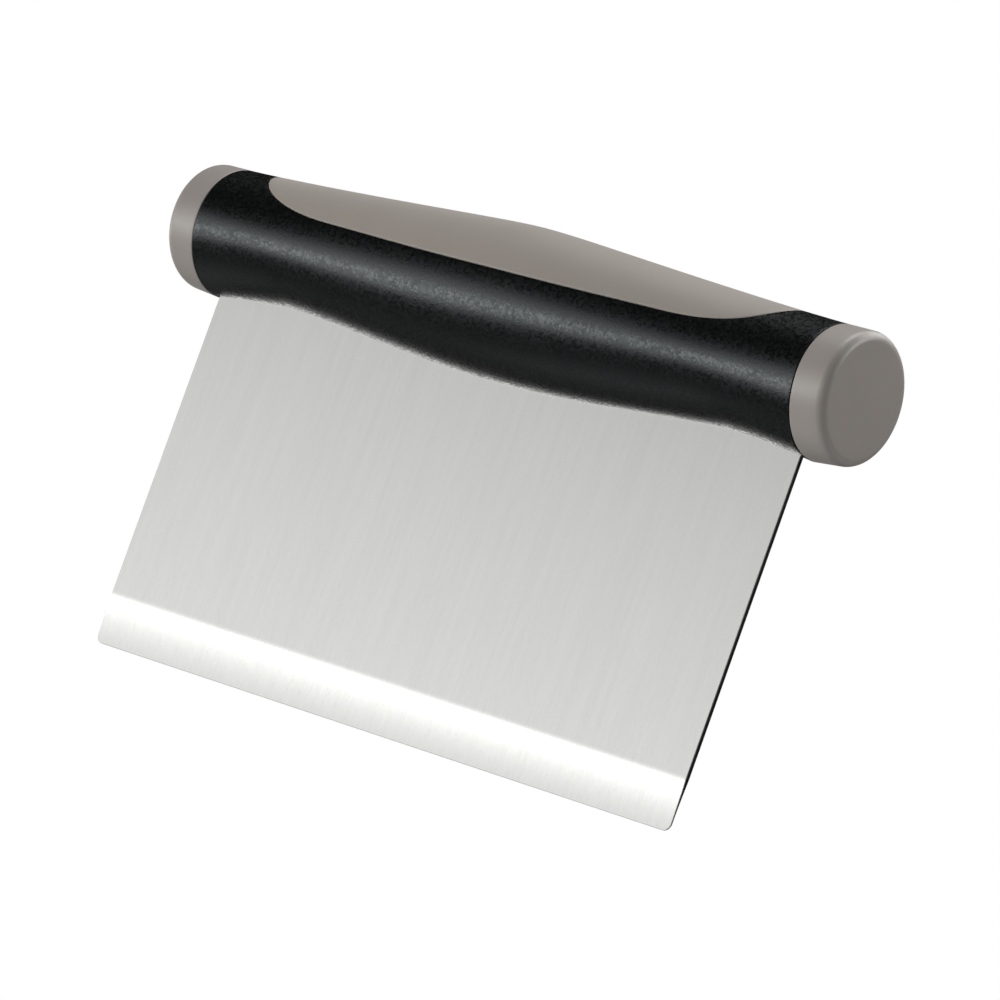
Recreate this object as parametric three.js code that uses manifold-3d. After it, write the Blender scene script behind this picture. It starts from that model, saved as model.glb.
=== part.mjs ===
// Bench scraper: a brushed stainless blade clamped in a two-part handle core with a soft grip,
// a hard top inlay and pressed-in end caps. Millimetres. The origin is the middle of the cutting
// edge: +X runs along the handle, +Y is the back of the blade and +Z points from edge to handle.
import * as THREE from "three";
import { mergeVertices } from "three/addons/utils/BufferGeometryUtils.js";
import Module from "manifold-3d";

const wasm = await Module();
wasm.setup();

// Driving dimensions
const GAP = 0.3; // left between neighbouring pieces

const BLADE_WIDTH = 152; // a nominal 6 inches
const BLADE_THICKNESS = 1.2;
const CORNER_RADIUS = 1.7; // lower corners of the blade
const EDGE_LAND = 0.4; // thickness left at the cutting edge
const BEVEL_HEIGHT = 10.6; // hollow-ground band above the edge
const BEVEL_STEPS = 10;

const AXIS_HEIGHT = 90.3; // centre line of the handle above the cutting edge
const GRIP_HALF_LENGTH = 77.6;
const CAP_LENGTH = 7.6; // the visible length of an end cap
const CAP_ROUNDING = 1.9; // radius of the cap's outer edge

// Half width, rise above and drop below the centre line at the belly, at the neck, at the joint
// with the cap and at the cap's end
const HALF_WIDTH = { belly: 15.8, neck: 13.2, joint: 14.1, end: 13.95 };
const DROP = { belly: 15.75, neck: 12.3, joint: 14.1, end: 13.4 };
const RISE = { crown: 16.8, end: 13.25 };
const NECK_AT = 57.5; // distance of each neck from the middle
const CROWN_ROUNDING = 8; // length over which the two top slopes blend

const GRIP_WALL = 2.2;
const INLAY_CENTRE = -1.5; // the inlay sits a little off the middle of the handle
const INLAY_HALF_LENGTH = 68.3;
const INLAY_HALF_ANGLE = { belly: 75.3, neck: 68.5 }; // degrees each side of the top
const INLAY_CORNER = 26; // length of the inlay's rounded ends
const INLAY_FULLNESS = 2.6; // superellipse exponent of those ends
const INLAY_MIDDLE = 10; // steps along the straight middle
const INLAY_STATIONS = 9; // steps along each end
const INLAY_LAST_TURN = 1.54; // radians: just short of a quarter turn, so the tip keeps a small flat
const INLAY_SPANS = 10; // across the inlay

const TANG_WIDTH = 132;
const TANG_TOP = 97.5; // above the cutting edge
const TANG_ENTRY = 80; // the full-width part of the blade ends here
const RIVET_SPACING = 48;
const RIVET_RADIUS = 2.2;
const RIVET_HEAD_RADIUS = 3.6;
const RIVET_HEAD_HEIGHT = 1.3;
const RIVET_HALF_LENGTH = 8;

const SPIGOT_RADIUS = 8;
const SPIGOT_LENGTH = 9;
const SPIGOT_WALL = 1.8;
const SPIGOT_FLOOR = 1.5; // left between the spigot's bore and the cap's inner face

const AROUND = 36; // facets round the handle
const STATIONS = 18; // along the handle
const ROUND_FACETS = 24; // round spigots and rivets
const RIM_STEPS = 4;

const MATERIALS = {
  steel: { color: 0xc6c6c4, roughness: 0.32, metalness: 1 },
  rivet: { color: 0xb8bab8, roughness: 0.4, metalness: 1 },
  rubber: { color: 0x17191a, roughness: 0.75, metalness: 0 },
  greyPlastic: { color: 0x8f8880, roughness: 0.5, metalness: 0 },
  corePlastic: { color: 0x2b2c2e, roughness: 0.6, metalness: 0 },
};

// Solids in and out of the boolean library

function toSolid(geometry) {
  const bare = geometry.index ? geometry.toNonIndexed() : geometry.clone();
  bare.deleteAttribute("normal");
  bare.deleteAttribute("uv");
  const merged = mergeVertices(bare, 1e-4);
  return new wasm.Manifold(
    new wasm.Mesh({
      numProp: 3,
      vertProperties: new Float32Array(merged.attributes.position.array),
      triVerts: new Uint32Array(merged.index.array),
    }),
  );
}

function toMesh(name, solid, material) {
  const { vertProperties, triVerts } = solid.getMesh();
  const geometry = new THREE.BufferGeometry();
  geometry.setAttribute("position", new THREE.BufferAttribute(vertProperties, 3));
  geometry.setIndex(new THREE.BufferAttribute(triVerts, 1));
  geometry.computeVertexNormals();
  const mesh = new THREE.Mesh(geometry, new THREE.MeshStandardMaterial(MATERIALS[material]));
  mesh.name = name;
  return mesh;
}

// A box between two opposite corners
function box(cornerA, cornerB) {
  const bounds = new THREE.Box3().setFromPoints([cornerA, cornerB]);
  const size = bounds.getSize(new THREE.Vector3());
  const centre = bounds.getCenter(new THREE.Vector3());
  return toSolid(new THREE.BoxGeometry(...size).translate(...centre));
}

// A cylinder along Y through (x, z), from y = -reach to y = reach
function crossPin(radius, reach, x, z) {
  const geometry = new THREE.CylinderGeometry(radius, radius, 2 * reach, ROUND_FACETS);
  return toSolid(geometry.translate(x, 0, z));
}

// A closed body through a list of rings of equally many points, closed at both ends by fans.
// Each ring turns from +Z to +Y, and the rings follow one another towards +X round the outside.
function loft(rings) {
  const points = [];
  const fan = (ring, atStart) => {
    const centre = ring.reduce((sum, p) => sum.add(p), new THREE.Vector3()).divideScalar(ring.length);
    ring.forEach((p, i) => {
      const next = ring[(i + 1) % ring.length];
      points.push(centre, ...(atStart ? [p, next] : [next, p]));
    });
  };
  fan(rings[0], true);
  for (let r = 0; r + 1 < rings.length; r++) {
    const [here, there] = [rings[r], rings[r + 1]];
    here.forEach((p, i) => {
      const j = (i + 1) % here.length;
      points.push(p, there[j], here[j], p, there[i], there[j]);
    });
  }
  fan(rings[rings.length - 1], false);
  return toSolid(new THREE.BufferGeometry().setFromPoints(points));
}

// The handle's surface

// 1 at the belly, falling smoothly to 0 at the neck
function belly(x) {
  return Math.abs(x) < NECK_AT ? ((1 + Math.cos((Math.PI * x) / NECK_AT)) / 2) ** 0.7 : 0;
}

// 0 at the neck, rising to 1 at the joint with the cap
function flare(x) {
  const past = (Math.abs(x) - NECK_AT) / (GRIP_HALF_LENGTH - NECK_AT);
  return THREE.MathUtils.clamp(past, 0, 1) ** 1.6;
}

// 0 on the grip, rising to 1 at the outer end of the cap
function draft(x) {
  return THREE.MathUtils.clamp((Math.abs(x) - GRIP_HALF_LENGTH) / CAP_LENGTH, 0, 1);
}

function waisted(size, x) {
  const flared = size.neck + (size.belly - size.neck) * belly(x) + (size.joint - size.neck) * flare(x);
  return flared + (size.end - size.joint) * draft(x);
}

// Two nearly straight slopes that meet in a rounded crown
function riseAt(x) {
  const slope = (s) => Math.hypot(s, CROWN_ROUNDING) - CROWN_ROUNDING;
  const along = Math.min(slope(x) / slope(GRIP_HALF_LENGTH), 1);
  return RISE.end + (RISE.crown - RISE.end) * (1 - along) ** 1.3;
}

// A point on the surface, moved in by an inset. The angle is 0 at the top and positive to the front.
function surfacePoint(x, angle, inset) {
  const side = waisted(HALF_WIDTH, x) - inset;
  const height = (Math.cos(angle) > 0 ? riseAt(x) : waisted(DROP, x)) - inset;
  return new THREE.Vector3(x, -side * Math.sin(angle), AXIS_HEIGHT + height * Math.cos(angle));
}

function surfaceRing(x, inset) {
  return Array.from({ length: AROUND }, (_, i) => surfacePoint(x, (-2 * Math.PI * i) / AROUND, inset));
}

function circleRing(x, radius) {
  return Array.from({ length: AROUND }, (_, i) => {
    const angle = (2 * Math.PI * i) / AROUND;
    return new THREE.Vector3(x, radius * Math.sin(angle), AXIS_HEIGHT + radius * Math.cos(angle));
  });
}

function handleBody(halfLength, inset) {
  const rings = Array.from({ length: STATIONS + 1 }, (_, i) =>
    surfaceRing(halfLength * ((2 * i) / STATIONS - 1), inset),
  );
  return loft(rings);
}

// Half the angle that the inlay covers where it runs straight
function inlayAngle(x, margin) {
  const degrees = INLAY_HALF_ANGLE.neck + (INLAY_HALF_ANGLE.belly - INLAY_HALF_ANGLE.neck) * belly(x);
  return THREE.MathUtils.degToRad(degrees) + margin / HALF_WIDTH.neck;
}

// [x, half angle] along the inlay: its straight middle, then a superellipse quarter at each end
function inlayStations(margin) {
  const straight = INLAY_HALF_LENGTH - INLAY_CORNER;
  const power = 2 / INLAY_FULLNESS;
  const middle = Array.from({ length: INLAY_MIDDLE + 1 }, (_, i) => {
    const x = straight * ((2 * i) / INLAY_MIDDLE - 1);
    return [x, inlayAngle(x, margin)];
  });
  const end = Array.from({ length: INLAY_STATIONS }, (_, i) => {
    const turn = (INLAY_LAST_TURN * (i + 1)) / INLAY_STATIONS;
    const x = straight + (INLAY_CORNER + margin) * Math.sin(turn) ** power;
    return [x, inlayAngle(x, margin) * Math.cos(turn) ** power];
  });
  const mirrored = end.map(([x, angle]) => [-x, angle]).reverse();
  return [...mirrored, ...middle, ...end].map(([x, angle]) => [x + INLAY_CENTRE, angle]);
}

// The inlay's outline wrapped round the top of the handle, between two insets
function topPanel(outerInset, innerInset, margin) {
  const across = (x, from, to, inset) =>
    Array.from({ length: INLAY_SPANS + 1 }, (_, i) =>
      surfacePoint(x, THREE.MathUtils.lerp(from, to, i / INLAY_SPANS), inset),
    );
  const rings = inlayStations(margin).map(([x, angle]) => [
    ...across(x, angle, -angle, outerInset),
    ...across(x, -angle, angle, innerInset),
  ]);
  return loft(rings);
}

// Blade

const rivetPlaces = [-RIVET_SPACING, 0, RIVET_SPACING];

// Front outline of the sheet: full width up to the handle, then the narrower tang
function bladeOutline() {
  const half = BLADE_WIDTH / 2;
  const tang = TANG_WIDTH / 2;
  const r = CORNER_RADIUS;
  const outline = new THREE.Shape();
  outline.moveTo(-half + r, 0);
  outline.lineTo(half - r, 0);
  outline.absarc(half - r, r, r, -Math.PI / 2, 0, false);
  outline.lineTo(half, TANG_ENTRY);
  outline.lineTo(tang, TANG_ENTRY);
  outline.lineTo(tang, TANG_TOP);
  outline.lineTo(-tang, TANG_TOP);
  outline.lineTo(-tang, TANG_ENTRY);
  outline.lineTo(-half, TANG_ENTRY);
  outline.lineTo(-half, r);
  outline.absarc(-half + r, r, r, Math.PI, (3 * Math.PI) / 2, false);
  return outline;
}

// End section of the sheet, flat above the bevel and ground concave on both faces below it
function bladeSection() {
  const flat = BLADE_THICKNESS / 2;
  const edge = EDGE_LAND / 2;
  const ground = Array.from({ length: BEVEL_STEPS + 1 }, (_, i) => {
    const t = i / BEVEL_STEPS;
    return new THREE.Vector2(edge + (flat - edge) * t * t, BEVEL_HEIGHT * t);
  });
  const front = ground.map((p) => new THREE.Vector2(-p.x, p.y)).reverse();
  const top = [new THREE.Vector2(flat, TANG_TOP + 1), new THREE.Vector2(-flat, TANG_TOP + 1)];
  return new THREE.Shape([...ground, ...top, ...front]);
}

function makeBlade() {
  const depth = 4 * BLADE_THICKNESS;
  const sheet = new THREE.ExtrudeGeometry(bladeOutline(), { depth, bevelEnabled: false, curveSegments: 5 });
  sheet.translate(0, 0, -depth / 2).rotateX(Math.PI / 2);
  const section = new THREE.ExtrudeGeometry(bladeSection(), { depth: BLADE_WIDTH + 2, bevelEnabled: false });
  section.translate(0, 0, -BLADE_WIDTH / 2 - 1).rotateX(Math.PI / 2).rotateZ(Math.PI / 2);
  let blade = toSolid(sheet).intersect(toSolid(section));
  for (const x of rivetPlaces) {
    blade = blade.subtract(crossPin(RIVET_RADIUS + GAP, BLADE_THICKNESS, x, AXIS_HEIGHT));
  }
  return toMesh("blade", blade, "steel");
}

// Handle core

// A slot centred on the blade's plane, from the ground up to a height
function bladeSlot(width, height) {
  const side = BLADE_THICKNESS / 2 + GAP;
  const end = width / 2 + GAP;
  return box(new THREE.Vector3(-end, -side, 0), new THREE.Vector3(end, side, height));
}

// A hole for a rivet's shank, opening into a counterbore for its head on each side
function rivetHole(x) {
  const reach = HALF_WIDTH.belly;
  const shoulder = RIVET_HALF_LENGTH - RIVET_HEAD_HEIGHT - GAP;
  const shank = crossPin(RIVET_RADIUS + GAP, reach, x, AXIS_HEIGHT);
  const heads = crossPin(RIVET_HEAD_RADIUS + GAP, reach, x, AXIS_HEIGHT);
  return shank.add(heads.subtract(crossPin(2 * RIVET_HEAD_RADIUS, shoulder, x, AXIS_HEIGHT)));
}

// The bores in the two ends of the core that take the spigots of the caps
function spigotBore(side) {
  const places = [GRIP_HALF_LENGTH - SPIGOT_LENGTH - GAP, GRIP_HALF_LENGTH + CAP_LENGTH];
  const rings = places.map((x) => circleRing(side * x, SPIGOT_RADIUS + GAP));
  return loft(side < 0 ? rings.reverse() : rings);
}

// Everything that has to be clear inside the core: the tang, the rivets and the cap spigots
function coreHollows() {
  const parts = [
    bladeSlot(TANG_WIDTH, TANG_TOP + GAP),
    bladeSlot(BLADE_WIDTH, TANG_ENTRY + GAP),
    ...rivetPlaces.map(rivetHole),
    spigotBore(-1),
    spigotBore(1),
  ];
  return parts.reduce((all, part) => all.add(part));
}

function makeCore(name, side, hollow) {
  const half = box(
    new THREE.Vector3(-GRIP_HALF_LENGTH - 1, (side * GAP) / 2, 0),
    new THREE.Vector3(GRIP_HALF_LENGTH + 1, side * AXIS_HEIGHT, 2 * AXIS_HEIGHT),
  );
  const body = handleBody(GRIP_HALF_LENGTH, GRIP_WALL + GAP);
  return toMesh(name, body.intersect(half).subtract(hollow), "corePlastic");
}

// Rivet through both core halves and the tang, with a flat round head at each end
function makeRivet(name, x) {
  const reach = RIVET_HALF_LENGTH;
  const neck = reach - RIVET_HEAD_HEIGHT;
  const chamfer = 0.3;
  const profile = [
    [0, -reach],
    [RIVET_HEAD_RADIUS - chamfer, -reach],
    [RIVET_HEAD_RADIUS, chamfer - reach],
    [RIVET_HEAD_RADIUS, -neck],
    [RIVET_RADIUS, -neck],
    [RIVET_RADIUS, neck],
    [RIVET_HEAD_RADIUS, neck],
    [RIVET_HEAD_RADIUS, reach - chamfer],
    [RIVET_HEAD_RADIUS - chamfer, reach],
    [0, reach],
  ].map(([r, y]) => new THREE.Vector2(r, y));
  const lathe = new THREE.LatheGeometry(profile, ROUND_FACETS);
  return toMesh(name, toSolid(lathe.translate(x, 0, AXIS_HEIGHT)), "rivet");
}

// Grip and inlay

// The lining's end carried on past the end of the grip
function endOpening(side) {
  const places = [GRIP_HALF_LENGTH - GAP, GRIP_HALF_LENGTH + GAP];
  const rings = places.map((x) => surfaceRing(side * x, GRIP_WALL));
  return loft(side < 0 ? rings.reverse() : rings);
}

function makeGrip() {
  const lining = handleBody(GRIP_HALF_LENGTH, GRIP_WALL).add(endOpening(-1)).add(endOpening(1));
  const sleeve = handleBody(GRIP_HALF_LENGTH, 0).subtract(lining);
  const window = topPanel(-GRIP_WALL, 2 * GRIP_WALL, GAP);
  return toMesh("grip", sleeve.subtract(bladeSlot(BLADE_WIDTH, AXIS_HEIGHT)).subtract(window), "rubber");
}

function makeInlay() {
  return toMesh("top_inlay", topPanel(0, GRIP_WALL, 0), "greyPlastic");
}

// End cap with its spigot, turned by rings from the bottom of the spigot's bore to the outer face
function makeCap(name, side) {
  const inner = GRIP_HALF_LENGTH + GAP;
  const outer = inner + CAP_LENGTH;
  const rim = Array.from({ length: RIM_STEPS + 1 }, (_, i) => {
    const turn = ((Math.PI / 2) * i) / RIM_STEPS;
    const inset = CAP_ROUNDING * (1 - Math.cos(turn));
    return [outer - CAP_ROUNDING * (1 - Math.sin(turn)), inset];
  });
  const bore = SPIGOT_RADIUS - SPIGOT_WALL;
  const tip = inner - SPIGOT_LENGTH;
  let rings = [
    circleRing(inner - SPIGOT_FLOOR, bore),
    circleRing(tip, bore),
    circleRing(tip, SPIGOT_RADIUS),
    circleRing(inner, SPIGOT_RADIUS),
    surfaceRing(inner, 0),
    ...rim.map(([x, inset]) => surfaceRing(x, inset)),
  ];
  if (side < 0) {
    rings = rings.map((ring) => ring.map((p) => new THREE.Vector3(-p.x, p.y, p.z))).reverse();
  }
  return toMesh(name, loft(rings), "greyPlastic");
}

const scraper = new THREE.Group();
scraper.name = "bench_scraper";
const hollow = coreHollows();
scraper.add(
  makeBlade(),
  makeCore("core_front", -1, hollow),
  makeCore("core_rear", 1, hollow),
  makeRivet("tang_rivet_left", rivetPlaces[0]),
  makeRivet("tang_rivet_centre", rivetPlaces[1]),
  makeRivet("tang_rivet_right", rivetPlaces[2]),
  makeGrip(),
  makeInlay(),
  makeCap("end_cap_left", -1),
  makeCap("end_cap_right", 1),
);

export default scraper;
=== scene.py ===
"""Bench scraper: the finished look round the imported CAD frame.

Lengths are in metres, in the frame's own axes: +X along the handle, +Y out of the blade's back and
+Z from the cutting edge to the handle.
"""
import math

import bmesh
import bpy
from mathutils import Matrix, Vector


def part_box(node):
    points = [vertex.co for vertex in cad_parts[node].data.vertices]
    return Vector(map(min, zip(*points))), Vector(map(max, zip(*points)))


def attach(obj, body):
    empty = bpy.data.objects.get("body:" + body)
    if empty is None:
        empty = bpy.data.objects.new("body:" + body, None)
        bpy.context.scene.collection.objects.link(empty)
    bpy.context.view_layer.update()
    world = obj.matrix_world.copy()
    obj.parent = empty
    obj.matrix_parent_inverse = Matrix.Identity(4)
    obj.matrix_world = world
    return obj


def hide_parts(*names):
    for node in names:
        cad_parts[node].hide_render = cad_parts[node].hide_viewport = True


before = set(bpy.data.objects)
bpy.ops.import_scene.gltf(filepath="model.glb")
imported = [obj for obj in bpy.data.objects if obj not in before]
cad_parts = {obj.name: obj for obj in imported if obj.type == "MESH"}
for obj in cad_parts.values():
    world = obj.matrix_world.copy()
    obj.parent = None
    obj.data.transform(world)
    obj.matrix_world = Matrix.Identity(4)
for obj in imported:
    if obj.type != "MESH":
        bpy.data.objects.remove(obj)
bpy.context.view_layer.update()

MM = 0.001

# ---------------------------------------------------------------- sizes, read from the CAD nodes

BLADE_LOW, BLADE_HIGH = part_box("blade")
GRIP_LOW, GRIP_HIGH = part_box("grip")
CAP_LOW, CAP_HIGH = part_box("end_cap_right")
INLAY_LOW, INLAY_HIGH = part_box("top_inlay")
RIVET_LOW, RIVET_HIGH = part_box("tang_rivet_centre")

AXIS_Z = (RIVET_LOW.z + RIVET_HIGH.z) / 2
GRIP_END = GRIP_HIGH.x
CAP_END = CAP_HIGH.x
GAP = 0.3 * MM
WALL = 2.2 * MM

HALF_WIDTH = {"belly": GRIP_HIGH.y, "neck": 13.2 * MM, "joint": CAP_HIGH.y, "end": 13.95 * MM}
DROP = {"belly": AXIS_Z - GRIP_LOW.z, "neck": 12.3 * MM, "joint": AXIS_Z - CAP_LOW.z, "end": 13.4 * MM}
CROWN_RISE = INLAY_HIGH.z - AXIS_Z
END_RISE = CAP_HIGH.z - AXIS_Z
NECK_AT = 57.5 * MM
CROWN_ROUNDING = 8 * MM

INLAY_CENTRE = (INLAY_LOW.x + INLAY_HIGH.x) / 2
INLAY_HALF = (INLAY_HIGH.x - INLAY_LOW.x) / 2
INLAY_ANGLE = {"belly": math.radians(75.3), "neck": math.radians(68.5)}
INLAY_CORNER = 26 * MM
INLAY_FULLNESS = 2.6


# ---------------------------------------------------------------- the handle's surface

def belly(x):
    """1 at the middle of the handle, falling to 0 at the neck."""
    if abs(x) >= NECK_AT:
        return 0.0
    return ((1 + math.cos(math.pi * x / NECK_AT)) / 2) ** 0.7


def clamp01(value):
    return min(max(value, 0.0), 1.0)


def flare(x):
    """0 at the neck, rising to 1 at the joint with the cap."""
    return clamp01((abs(x) - NECK_AT) / (GRIP_END - NECK_AT)) ** 1.6


def waisted(size, x):
    """A half width or a drop along the handle: belly, neck, flare to the joint, taper to the end."""
    taper = clamp01((abs(x) - GRIP_END) / (CAP_END - GRIP_END - GAP))
    swollen = size["neck"] + (size["belly"] - size["neck"]) * belly(x)
    flared = swollen + (size["joint"] - size["neck"]) * flare(x)
    return flared + (size["end"] - size["joint"]) * taper


def rise_at(x):
    """Two nearly straight slopes along the top, blended at the crown."""
    def slope(s):
        return math.hypot(s, CROWN_ROUNDING) - CROWN_ROUNDING
    along = min(slope(x) / slope(GRIP_END), 1.0)
    return END_RISE + (CROWN_RISE - END_RISE) * (1 - along) ** 1.3


def surface(x, angle, inset=0.0):
    """A point on the handle. The angle is 0 at the top and positive towards the front."""
    side = waisted(HALF_WIDTH, x) - inset
    height = (rise_at(x) if math.cos(angle) > 0 else waisted(DROP, x)) - inset
    return Vector((x, -side * math.sin(angle), AXIS_Z + height * math.cos(angle)))


# ---------------------------------------------------------------- mesh helpers

def new_object(name, bm, material, sharp=math.radians(28)):
    bmesh.ops.recalc_face_normals(bm, faces=bm.faces[:])
    mesh = bpy.data.meshes.new(name)
    bm.to_mesh(mesh)
    bm.free()
    mesh.shade_smooth()
    mesh.set_sharp_from_angle(angle=sharp)
    mesh.materials.append(material)
    obj = bpy.data.objects.new(name, mesh)
    bpy.context.scene.collection.objects.link(obj)
    return obj


def apply_modifiers(obj):
    graph = bpy.context.evaluated_depsgraph_get()
    done = bpy.data.meshes.new_from_object(obj.evaluated_get(graph))
    obj.modifiers.clear()
    obj.data = done


def loft(bm, rings, cap_start=True, cap_end=True):
    """Closed rings of equally many points joined by quads, with a fan to the middle at each end."""
    made = [[bm.verts.new(p) for p in ring] for ring in rings]
    for here, there in zip(made, made[1:]):
        for i in range(len(here)):
            j = (i + 1) % len(here)
            bm.faces.new((here[i], here[j], there[j], there[i]))
    for ring, wanted in ((made[0], cap_start), (made[-1], cap_end)):
        if wanted:
            centre = bm.verts.new(sum((v.co for v in ring), Vector()) / len(ring))
            for i in range(len(ring)):
                bm.faces.new((centre, ring[i], ring[(i + 1) % len(ring)]))


# ---------------------------------------------------------------- shader helpers

def new_material(name):
    material = bpy.data.materials.new(name)
    material.use_nodes = True
    tree = material.node_tree
    return material, tree, tree.nodes["Principled BSDF"]


def node(tree, kind, inputs=None, **settings):
    made = tree.nodes.new(kind)
    for key, value in settings.items():
        setattr(made, key, value)
    for key, value in (inputs or {}).items():
        if isinstance(value, bpy.types.NodeSocket):
            tree.links.new(value, made.inputs[key])
        else:
            made.inputs[key].default_value = value
    return made


def object_point(tree, scale=(1, 1, 1)):
    """The point on the object, stretched by a scale along each axis."""
    where = node(tree, "ShaderNodeTexCoord").outputs["Object"]
    return node(tree, "ShaderNodeMapping", {"Vector": where, "Scale": scale}).outputs["Vector"]


def noise(tree, size, scale=(1, 1, 1), detail=2.0, roughness=0.5):
    """Noise whose grains are about size metres across, in the range 0 to 1."""
    inputs = {"Vector": object_point(tree, scale), "Scale": 1 / size}
    inputs.update({"Detail": detail, "Roughness": roughness})
    return node(tree, "ShaderNodeTexNoise", inputs).outputs["Fac"]


def spread(tree, value, low, high, middle=(0.3, 0.7)):
    """A noise value mapped from its usual range to low..high."""
    inputs = {"Value": value, "From Min": middle[0], "From Max": middle[1]}
    inputs.update({"To Min": low, "To Max": high})
    return node(tree, "ShaderNodeMapRange", inputs).outputs["Result"]


def tint(tree, value, dark, light):
    ramp = node(tree, "ShaderNodeValToRGB", {"Fac": value})
    ramp.color_ramp.elements[0].color = (*dark, 1)
    ramp.color_ramp.elements[1].color = (*light, 1)
    ramp.color_ramp.elements[0].position = 0.3
    ramp.color_ramp.elements[1].position = 0.7
    return ramp.outputs["Color"]


def bump(tree, height, depth, strength=1.0, normal=None):
    inputs = {"Height": height, "Distance": depth, "Strength": strength}
    if normal is not None:
        inputs["Normal"] = normal
    return node(tree, "ShaderNodeBump", inputs).outputs["Normal"]


# ---------------------------------------------------------------- materials

def steel_material():
    """Stainless sheet, brushed from handle to edge: short fine scratches and faint broader bands."""
    material, tree, shader = new_material("brushed_steel")
    fine = noise(tree, 0.22 * MM, scale=(1, 1, 0.10), detail=3)
    bands = noise(tree, 1.3 * MM, scale=(1, 1, 0.06), detail=2)
    shader.inputs["Metallic"].default_value = 1.0
    shader.inputs["Anisotropic"].default_value = 0.75
    both = node(tree, "ShaderNodeMix", {"Factor": 0.3, "A": fine, "B": bands}).outputs["Result"]
    tree.links.new(tint(tree, both, (0.46, 0.465, 0.45), (0.52, 0.525, 0.51)), shader.inputs["Base Color"])
    tree.links.new(spread(tree, fine, 0.27, 0.31), shader.inputs["Roughness"])
    tree.links.new(bump(tree, fine, 0.001 * MM, 0.5), shader.inputs["Normal"])
    along_x = node(tree, "ShaderNodeTangent", direction_type="UV_MAP", uv_map="grain").outputs["Tangent"]
    tree.links.new(along_x, shader.inputs["Tangent"])
    return material


def rubber_material():
    """Black thermoplastic rubber with a fine spark-eroded grain that sparkles in the highlight."""
    material, tree, shader = new_material("black_grip_rubber")
    grain = noise(tree, 0.42 * MM, detail=1, roughness=0.5)
    cells = node(tree, "ShaderNodeTexVoronoi", {"Vector": object_point(tree), "Scale": 1 / (0.5 * MM)})
    speck = node(tree, "ShaderNodeSeparateColor", {"Color": cells.outputs["Color"]}).outputs["Red"]
    wear = noise(tree, 9 * MM, detail=3)
    black = tint(tree, wear, (0.0060, 0.0065, 0.0067), (0.0074, 0.0079, 0.0081))
    tree.links.new(black, shader.inputs["Base Color"])
    tree.links.new(spread(tree, speck, 0.22, 0.42, (0, 1)), shader.inputs["Roughness"])
    tree.links.new(bump(tree, grain, 0.045 * MM, 0.5), shader.inputs["Normal"])
    shader.inputs["Specular IOR Level"].default_value = 0.42
    shader.inputs["Specular Tint"].default_value = (0.90, 0.97, 1.0, 1)
    return material


def plastic_material(name, dark, light, roughness, grain_size, depth):
    """Moulded plastic with a fine satin texture and a slight unevenness of colour."""
    material, tree, shader = new_material(name)
    grain = noise(tree, grain_size, detail=2)
    cloud = noise(tree, 14 * MM, detail=3)
    tree.links.new(tint(tree, cloud, dark, light), shader.inputs["Base Color"])
    tree.links.new(spread(tree, grain, roughness - 0.05, roughness + 0.05), shader.inputs["Roughness"])
    tree.links.new(bump(tree, grain, depth, 0.5), shader.inputs["Normal"])
    return material


def rivet_material():
    """Drawn steel with fine turning marks round the rivet's head."""
    material, tree, shader = new_material("rivet_steel")
    marks = noise(tree, 0.5 * MM, scale=(1, 6, 1), detail=2)
    shader.inputs["Metallic"].default_value = 1.0
    tree.links.new(tint(tree, marks, (0.42, 0.42, 0.41), (0.56, 0.56, 0.55)), shader.inputs["Base Color"])
    tree.links.new(spread(tree, marks, 0.3, 0.45), shader.inputs["Roughness"])
    return material


STEEL = steel_material()
RUBBER = rubber_material()
INLAY_GREY = plastic_material("inlay_grey", dark=(0.475, 0.428, 0.38), light=(0.495, 0.448, 0.40),
                              roughness=0.45, grain_size=0.5 * MM, depth=0.004 * MM)
INLAY_GREY.node_tree.nodes["Principled BSDF"].inputs["Sheen Weight"].default_value = 0.15
CAP_GREY = plastic_material("cap_grey", dark=(0.46, 0.42, 0.387), light=(0.485, 0.445, 0.412),
                            roughness=0.42, grain_size=0.4 * MM, depth=0.01 * MM)
CAP_GREY.node_tree.nodes["Principled BSDF"].inputs["Specular IOR Level"].default_value = 0.65
CORE_BLACK = plastic_material("core_black", dark=(0.035, 0.035, 0.037), light=(0.045, 0.045, 0.048),
                              roughness=0.5, grain_size=0.6 * MM, depth=0.01 * MM)
RIVET_STEEL = rivet_material()


# ---------------------------------------------------------------- blade

BEVEL_HEIGHT = 10.6 * MM
BEVEL_FADE = 0.6 * MM  # the bevel's slope dies away over this height on each side of its top
EDGE_LAND = 0.4 * MM
CORNER_RADIUS = 1.7 * MM
TANG_ENTRY = 80 * MM
TANG_HALF = 66 * MM
DEBURR = 0.11 * MM  # the small chamfer left on the sheet's edges
GRAIN_REPEATS = 10  # turns of the grain's UV layout in a metre
HOLE_TO_HEAD = 2.5 / 3.6  # radius of a rivet hole against that of the rivet's head
DRILL_REACH = 3 * MM


def blade_half_thickness(z):
    """Flat above the bevel and hollow-ground below it; the slope fades out across the bevel's top."""
    low, high = BEVEL_HEIGHT - BEVEL_FADE, BEVEL_HEIGHT + BEVEL_FADE
    flat, edge = BLADE_HIGH.y, EDGE_LAND / 2
    curve = (flat - edge) / (low * high)
    if z >= high:
        return flat
    if z <= low:
        return edge + curve * z * z
    return flat - curve * low * (high - z) ** 2 / (high - low)


def blade_half_width(z):
    full = BLADE_HIGH.x
    if z >= CORNER_RADIUS:
        return full
    return full - CORNER_RADIUS + math.sqrt(CORNER_RADIUS ** 2 - (CORNER_RADIUS - z) ** 2)


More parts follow.
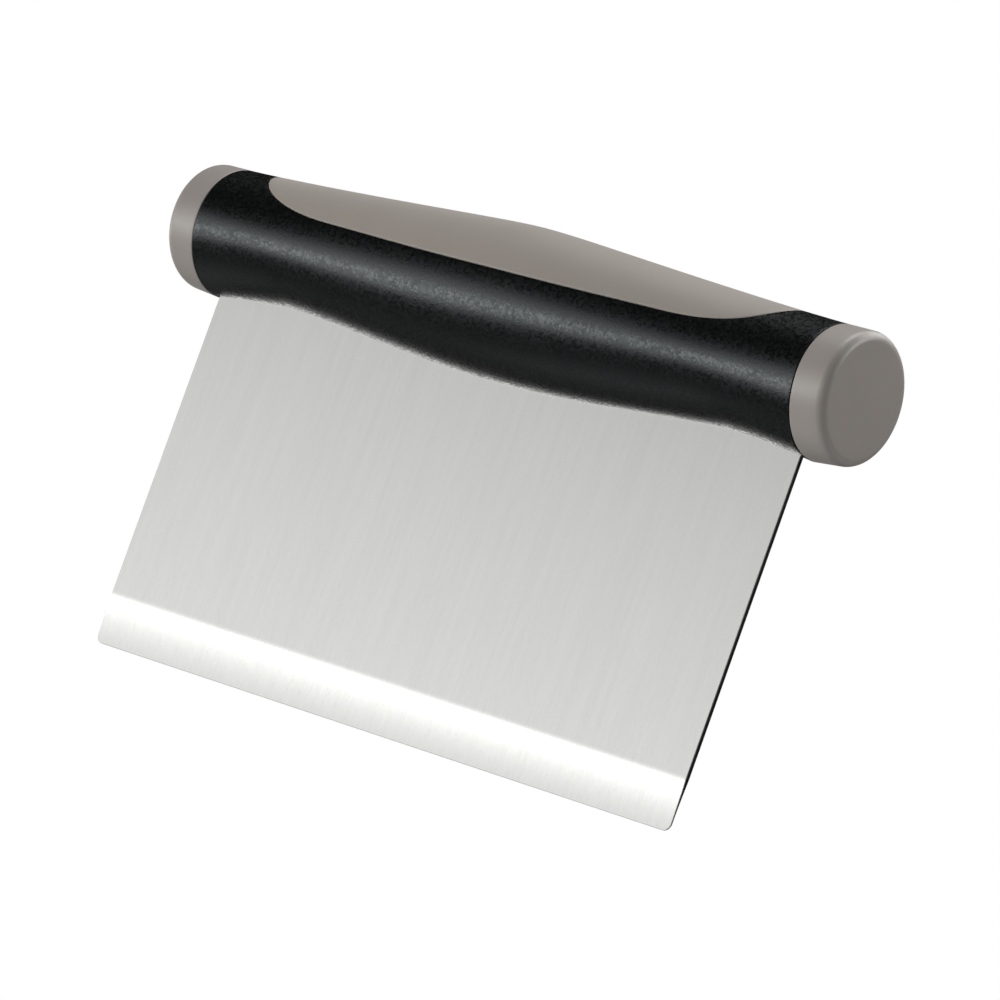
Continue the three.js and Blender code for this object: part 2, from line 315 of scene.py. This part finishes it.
def blade_ring(z, half_width, shrink=0.0):
    """The sheet's outline at a height, with a chamfer along each of its four corners."""
    t = blade_half_thickness(z) - shrink
    x = half_width - shrink
    c = min(DEBURR, t * 0.4)
    corner = [(x - c, -t), (x, c - t), (x, t - c), (x - c, t)]
    mirrored = [(-px, -py) for px, py in corner]
    return [Vector((px, py, z)) for px, py in corner + mirrored]


def build_blade():
    corner_steps, bevel_steps, fade_steps = 10, 30, 5
    turns = [math.pi / 2 * i / corner_steps for i in range(1, corner_steps + 1)]
    corner_levels = [CORNER_RADIUS * (1 - math.cos(turn)) for turn in turns]
    levels = {DEBURR / 2} | {z for z in corner_levels if z > DEBURR / 2}
    levels |= {BEVEL_HEIGHT * i / bevel_steps for i in range(1, bevel_steps + 1)}
    levels |= {BEVEL_HEIGHT + BEVEL_FADE * i / fade_steps for i in range(-fade_steps, fade_steps + 1)}
    levels |= {BEVEL_HEIGHT + BEVEL_FADE + 0.1 * MM, TANG_ENTRY}
    rings = [blade_ring(0, blade_half_width(0), DEBURR / 2)]
    rings += [blade_ring(z, blade_half_width(z)) for z in sorted(levels)]
    rings += [blade_ring(TANG_ENTRY, TANG_HALF), blade_ring(BLADE_HIGH.z, TANG_HALF)]
    bm = bmesh.new()
    loft(bm, rings)
    grain = bm.loops.layers.uv.new("grain")
    for face in bm.faces:
        for corner in face.loops:
            co = corner.vert.co
            corner[grain].uv = ((co.x + co.y) * GRAIN_REPEATS, co.z * GRAIN_REPEATS)
    blade = new_object("blade_sheet", bm, STEEL)
    drill_tang(blade)
    return blade


def drill_tang(blade):
    """The three rivet holes through the tang."""
    radius = (RIVET_HIGH.z - RIVET_LOW.z) / 2 * HOLE_TO_HEAD
    for name in ("tang_rivet_left", "tang_rivet_centre", "tang_rivet_right"):
        low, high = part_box(name)
        middle = (low + high) / 2
        ring_at = [Vector((radius * math.cos(a), 0, radius * math.sin(a)))
                   for a in (2 * math.pi * i / 32 for i in range(32))]
        bm = bmesh.new()
        loft(bm, [[middle + p + Vector((0, y, 0)) for p in ring_at] for y in (-DRILL_REACH, DRILL_REACH)])
        drill = new_object("drill", bm, STEEL)
        cut = blade.modifiers.new("hole", "BOOLEAN")
        cut.object = drill
        cut.operation = "DIFFERENCE"
        cut.solver = "EXACT"
        apply_modifiers(blade)
        bpy.data.objects.remove(drill)


# ---------------------------------------------------------------- grip and inlay

def inlay_angle(x, margin):
    degrees_range = INLAY_ANGLE["belly"] - INLAY_ANGLE["neck"]
    return INLAY_ANGLE["neck"] + degrees_range * belly(x) + margin / HALF_WIDTH["neck"]


def inlay_edge(margin, end_steps, middle_steps):
    """(x, angle) along the front edge of the inlay from tip to tip, moved outwards by a margin."""
    straight = INLAY_HALF - INLAY_CORNER
    power = 2 / INLAY_FULLNESS
    end = []
    for i in range(1, end_steps + 1):
        turn = math.pi / 2 * i / end_steps
        x = straight + (INLAY_CORNER + margin) * math.sin(turn) ** power
        end.append((x, inlay_angle(x, margin) * max(math.cos(turn), 0.0) ** power))
    end[-1] = (end[-1][0], 0.0)
    middle = [straight * (2 * i / middle_steps - 1) for i in range(middle_steps + 1)]
    left = [(-x, angle) for x, angle in reversed(end)]
    points = left + [(x, inlay_angle(x, margin)) for x in middle] + end
    return [(x + INLAY_CENTRE, angle) for x, angle in points]


def resample(points, count):
    """The same line through (x, angle) points, with evenly spaced points on the handle."""
    places = [surface(x, a) for x, a in points]
    run = [0.0]
    for p, q in zip(places, places[1:]):
        run.append(run[-1] + (q - p).length)
    out = []
    k = 0
    for i in range(count + 1):
        wanted = run[-1] * i / count
        while k < len(run) - 2 and run[k + 1] < wanted:
            k += 1
        t = (wanted - run[k]) / (run[k + 1] - run[k])
        out.append(tuple(a + (b - a) * clamp01(t) for a, b in zip(points[k], points[k + 1])))
    return out


def rolled_edge(radius, steps=4):
    """(distance in from the edge, depth below the surface) from the side wall up onto the surface."""
    turns = [math.pi / 2 * i / steps for i in range(steps + 1)]
    return [(radius * (1 - math.sin(t)), radius * (1 - math.cos(t))) for t in reversed(turns)]


def moved_in(loop, distance):
    """A closed (x, angle) loop moved inwards over the surface by a distance."""
    radius = HALF_WIDTH["neck"]
    out = []
    for i, (x, a) in enumerate(loop):
        before, after = loop[i - 1], loop[(i + 1) % len(loop)]
        along = Vector((after[0] - before[0], (after[1] - before[1]) * radius)).normalized()
        out.append((x + along.y * distance, a - along.x * distance / radius))
    return out


def build_inlay():
    """The grey panel: rolled up over its edge, then ring by ring in to a line along its top."""
    edge_points = 150
    front = resample(inlay_edge(0, 60, 40), edge_points)
    loop = front + [(x, -a) for x, a in reversed(front[1:-1])]
    reach = INLAY_HALF - INLAY_CORNER
    spine = [(min(max(x, INLAY_CENTRE - reach), INLAY_CENTRE + reach), 0.0) for x, _ in loop]

    def ring(distance, inset, t=0.0):
        edge = moved_in(loop, distance) if distance else loop
        return [surface(x + (sx - x) * t, a + (sa - a) * t, inset) for (x, a), (sx, sa) in zip(edge, spine)]

    rounding = 0.35 * MM
    across = 16
    rings = [ring(0, WALL, 1 - i / 5) for i in range(5)] + [ring(0, WALL)]
    rings += [ring(distance, inset) for distance, inset in rolled_edge(rounding)]
    rings += [ring(rounding, 0, i / across) for i in range(1, across + 1)]
    bm = bmesh.new()
    loft(bm, rings, cap_start=False, cap_end=False)
    bmesh.ops.remove_doubles(bm, verts=bm.verts[:], dist=1e-7)
    return new_object("inlay_panel", bm, INLAY_GREY)


LIP_BAND = 0.6 * MM  # an even band of faces round the window, so that its edge rounds evenly


def grip_columns():
    """Strips of the grip's front half, each a line of (x, angle) points from its top to the blade slot.

    Each comes with a flag: does it start on the edge of the inlay's window?
    """
    slot_end = BLADE_HIGH.x + GAP
    ends = [GRIP_END, (GRIP_END + slot_end) / 2]
    edge_points, seam_points, rows = 128, 6, 40
    window = resample(inlay_edge(0.14 * MM, 60, 40), edge_points)
    loop = window + [(x, -a) for x, a in reversed(window[1:-1])]
    band = moved_in(loop, -LIP_BAND)[:len(window)]
    band[0], band[-1] = (band[0][0], 0.0), (band[-1][0], 0.0)
    first, last = band[0][0], band[-1][0]
    left = [-ends[0], -ends[1]]
    left += [-slot_end + (first + slot_end) * i / seam_points for i in range(seam_points)]
    right = [last + (slot_end - last) * (i + 1) / seam_points for i in range(seam_points)]
    right += [ends[1], ends[0]]
    band_angle = LIP_BAND / HALF_WIDTH["neck"]
    starts = [((x, 0.0), (x, band_angle), False) for x in left]
    starts += [(edge, outer, True) for edge, outer in zip(window, band)]
    starts += [((x, 0.0), (x, band_angle), False) for x in right]
    inner = len(starts) - 4
    bottoms = [-ends[0], -ends[1]]
    bottoms += [slot_end * (2 * i / (inner - 1) - 1) for i in range(inner)]
    bottoms += [ends[1], ends[0]]
    clear = BLADE_HIGH.y + 0.12 * MM

    def lowest(x):
        if abs(x) > slot_end + GAP / 2:
            return math.pi
        return math.pi - math.asin(clear / waisted(HALF_WIDTH, x))

    columns = []
    for (top, (x0, a0), at_window), x1 in zip(starts, bottoms):
        a1 = lowest(x1)
        down = [(x0 + (x1 - x0) * i / rows, a0 + (a1 - a0) * i / rows) for i in range(rows + 1)]
        columns.append(([top] + down, at_window))
    return columns


def build_grip():
    """The soft sleeve: a sheet with a window and a slot, thickened inwards, with rounded edges."""
    columns = grip_columns()
    bm = bmesh.new()
    for side in (1, -1):
        strips = [([bm.verts.new(surface(x, side * a)) for x, a in line], at_window)
                  for line, at_window in columns]
        for (here, here_open), (there, there_open) in zip(strips, strips[1:]):
            if here_open == there_open:
                bm.faces.new((here[0], here[1], there[1], there[0]))
            elif here_open:
                bm.faces.new((here[1], there[1], there[0]))
            else:
                bm.faces.new((here[0], here[1], there[1]))
            for i in range(1, len(here) - 1):
                bm.faces.new((here[i], here[i + 1], there[i + 1], there[i]))
    bmesh.ops.remove_doubles(bm, verts=bm.verts[:], dist=1e-6)
    bmesh.ops.recalc_face_normals(bm, faces=bm.faces[:])
    grip = new_object("grip_sleeve", bm, RUBBER)
    thick = grip.modifiers.new("wall", "SOLIDIFY")
    thick.thickness = WALL
    thick.offset = -1
    round_off = grip.modifiers.new("lips", "BEVEL")
    round_off.width = 0.3 * MM
    round_off.segments = 3
    round_off.limit_method = "ANGLE"
    round_off.angle_limit = math.radians(50)
    apply_modifiers(grip)
    return grip


# ---------------------------------------------------------------- end caps

def ring_of(point_at, count=128):
    return [point_at(2 * math.pi * i / count) for i in range(count)]


def build_cap(name, side):
    joint = GRIP_END + 0.18 * MM
    end = CAP_END
    edge, rounding = 0.22 * MM, 1.9 * MM
    spigot, bore = 8 * MM, 6.2 * MM
    floor = GRIP_END + GAP - 1.5 * MM
    tip = CAP_LOW.x
    chamfer = 0.4 * MM

    def circle(x, radius):
        return ring_of(lambda a: Vector((x, -radius * math.sin(a), AXIS_Z + radius * math.cos(a))))

    def section(x, inset):
        return ring_of(lambda a: surface(x, a, inset))

    rings = [circle(floor, bore), circle(tip + chamfer / 2, bore), circle(tip, bore + chamfer / 2)]
    rings += [circle(tip, spigot - chamfer), circle(tip + chamfer, spigot), circle(joint, spigot)]
    rings += [section(joint + depth, away) for away, depth in reversed(rolled_edge(edge))]
    shoulder = end - rounding
    rings += [section(joint + edge + (shoulder - joint - edge) * i / 8, 0) for i in range(1, 8)]
    turns = [math.pi / 2 * i / 12 for i in range(13)]
    rings += [section(shoulder + rounding * math.sin(t), rounding * (1 - math.cos(t))) for t in turns]
    face = rings[-1]
    middle = Vector((end, 0, AXIS_Z))
    rings += [[p.lerp(middle, i / 10) for p in face] for i in range(1, 10)]
    if side < 0:
        rings = [[Vector((-p.x, p.y, p.z)) for p in ring] for ring in rings]
    bm = bmesh.new()
    loft(bm, rings)
    return new_object(name, bm, CAP_GREY)


# ---------------------------------------------------------------- assembly

def dress_frame():
    """Materials for the CAD pieces that stay: the core halves and the rivets inside the handle."""
    finishes = {"core_front": CORE_BLACK, "core_rear": CORE_BLACK}
    for position in ("left", "centre", "right"):
        finishes["tang_rivet_" + position] = RIVET_STEEL
    for name, material in finishes.items():
        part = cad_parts[name]
        part.data.materials.clear()
        part.data.materials.append(material)


def place(piece, cad_node):
    """A finished piece takes the place of a CAD node."""
    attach(piece, "root")
    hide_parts(cad_node)


# ---------------------------------------------------------------- studio

CAMERA_TARGET = Vector((10.8 * MM, 0, 52.05 * MM))
CAMERA_AZIMUTH = 37.38  # degrees, as is the elevation
CAMERA_ELEVATION = -4.40
CAMERA_ROLL = math.radians(19.74)
CAMERA_DISTANCE = 1.1117
LENS = 201.38  # on the default 36 mm sensor


def direction(azimuth, elevation):
    """The way from the object towards a light or camera; azimuth 0 is the front and 90 degrees is +X."""
    a, e = math.radians(azimuth), math.radians(elevation)
    return Vector((math.sin(a) * math.cos(e), -math.cos(a) * math.cos(e), math.sin(e)))


def add_camera():
    data = bpy.data.cameras.new("camera")
    data.lens = LENS
    data.clip_end = 50
    camera = bpy.data.objects.new("camera", data)
    bpy.context.scene.collection.objects.link(camera)
    towards = direction(CAMERA_AZIMUTH, CAMERA_ELEVATION)
    camera.location = CAMERA_TARGET + towards * CAMERA_DISTANCE
    camera.rotation_euler = towards.to_track_quat("Z", "Y").to_euler()
    camera.rotation_euler.rotate_axis("Z", CAMERA_ROLL)
    bpy.context.scene.camera = camera


def add_softbox(name, azimuth, elevation, distance, size, radiance):
    """A rectangular softbox that faces the object and that the camera doesn't see."""
    light = bpy.data.lights.new(name, "AREA")
    light.shape = "RECTANGLE"
    light.size, light.size_y = size
    light.energy = radiance * math.pi * size[0] * size[1]
    lamp = bpy.data.objects.new(name, light)
    bpy.context.scene.collection.objects.link(lamp)
    away = direction(azimuth, elevation)
    lamp.location = CAMERA_TARGET + away * distance
    lamp.rotation_euler = away.to_track_quat("Z", "Y").to_euler()
    lamp.visible_camera = False


def arithmetic(tree, operation, *values):
    return node(tree, "ShaderNodeMath", dict(enumerate(values)), operation=operation).outputs[0]


def by_elevation(tree, up, stops):
    """A level that changes with the elevation, from (degrees, level) stops."""
    angle = arithmetic(tree, "ARCSINE", up)
    inputs = {"Value": angle, "From Min": -math.pi / 2, "From Max": math.pi / 2}
    part_way = node(tree, "ShaderNodeMapRange", inputs).outputs["Result"]
    ramp = node(tree, "ShaderNodeValToRGB", {"Fac": part_way})
    elements = ramp.color_ramp.elements
    while len(elements) < len(stops):
        elements.new(1.0)
    for element, (degrees, level) in zip(elements, stops):
        element.position = (degrees + 90) / 180
        element.color = (level, level, level, 1)
    return ramp.outputs["Color"]


# The room's pale wall stands low round the table, brightest towards the left of the front.
# Its stops and the table's are (degrees of elevation, level).
WALL_STOPS = ((-28, 0.0), (-21, 0.13), (-15, 0.8), (-11, 1.0), (-8, 0.9),
              (-5, 0.5), (0, 0.38), (5, 0.46), (9, 0.08), (14, 0.0))
WALL_BRIGHTEST = -40  # azimuth in degrees
WALL_LEVEL = 0.95
WALL_GLOW = 2.8
TABLE_STOPS = ((-90, 1.0), (-64, 0.9), (-50, 0.25), (-28, 0.12), (-18, 0.0))
TABLE_LEVEL = 0.65


def add_world():
    """White to the camera. Its light comes from a pale table below and a low pale wall all round."""
    world = bpy.data.worlds.new("studio")
    bpy.context.scene.world = world
    world.use_nodes = True
    tree = world.node_tree
    tree.nodes.clear()
    outward = node(tree, "ShaderNodeTexCoord").outputs["Generated"]
    up = node(tree, "ShaderNodeSeparateXYZ", {"Vector": outward}).outputs["Z"]
    brightest = direction(WALL_BRIGHTEST, 0)
    product = node(tree, "ShaderNodeVectorMath", {0: outward, 1: brightest}, operation="DOT_PRODUCT")
    facing = product.outputs["Value"]
    half = arithmetic(tree, "MULTIPLY_ADD", facing, 0.5, 0.5)
    glow = arithmetic(tree, "POWER", half, 3.0)
    evenly = arithmetic(tree, "MULTIPLY", half, WALL_LEVEL)
    wall_light = arithmetic(tree, "MULTIPLY_ADD", glow, WALL_GLOW, evenly)
    wall = arithmetic(tree, "MULTIPLY", by_elevation(tree, up, WALL_STOPS), wall_light)
    room = arithmetic(tree, "MULTIPLY_ADD", by_elevation(tree, up, TABLE_STOPS), TABLE_LEVEL, wall)
    seen = node(tree, "ShaderNodeLightPath").outputs["Is Camera Ray"]
    strength = node(tree, "ShaderNodeMix", {"Factor": seen, "A": room, "B": 1.0}).outputs["Result"]
    background = node(tree, "ShaderNodeBackground", {"Color": (1, 1, 1, 1), "Strength": strength})
    output = node(tree, "ShaderNodeOutputWorld")
    tree.links.new(background.outputs[0], output.inputs["Surface"])


def add_floor():
    """A pale floor well below the object. It throws no light back up: the room's own light does that."""
    material, _, shader = new_material("pale_floor")
    shader.inputs["Base Color"].default_value = (0.9, 0.9, 0.9, 1)
    shader.inputs["Roughness"].default_value = 0.9
    shader.inputs["Emission Color"].default_value = (1, 1, 1, 1)
    shader.inputs["Emission Strength"].default_value = 0.5
    bm = bmesh.new()
    bmesh.ops.create_circle(bm, cap_ends=True, segments=96, radius=6.0)
    floor = new_object("floor", bm, material)
    floor.location.z = -0.6
    floor.visible_diffuse = False
    floor.visible_glossy = False


def add_studio():
    bpy.context.scene.view_settings.view_transform = "Standard"
    add_world()
    add_floor()
    add_softbox("key_softbox", azimuth=-38, elevation=-14, distance=1.3, size=(0.75, 0.36), radiance=3.0)
    add_softbox("top_softbox", azimuth=-95, elevation=82, distance=1.3, size=(0.8, 0.7), radiance=4.3)
    add_softbox("rear_softbox", azimuth=163, elevation=50, distance=1.3, size=(0.9, 0.7), radiance=4.0)
    add_softbox("side_softbox", azimuth=122, elevation=30, distance=1.3, size=(0.6, 0.4), radiance=5.6)
    add_softbox("low_softbox", azimuth=140, elevation=-28, distance=1.3, size=(1.0, 0.4), radiance=0.6)
    add_softbox("back_softbox", azimuth=205, elevation=14, distance=1.5, size=(0.3, 0.4), radiance=1.5)


place(build_blade(), "blade")
place(build_grip(), "grip")
place(build_inlay(), "top_inlay")
place(build_cap("cap_left", -1), "end_cap_left")
place(build_cap("cap_right", 1), "end_cap_right")
dress_frame()
add_camera()
add_studio()
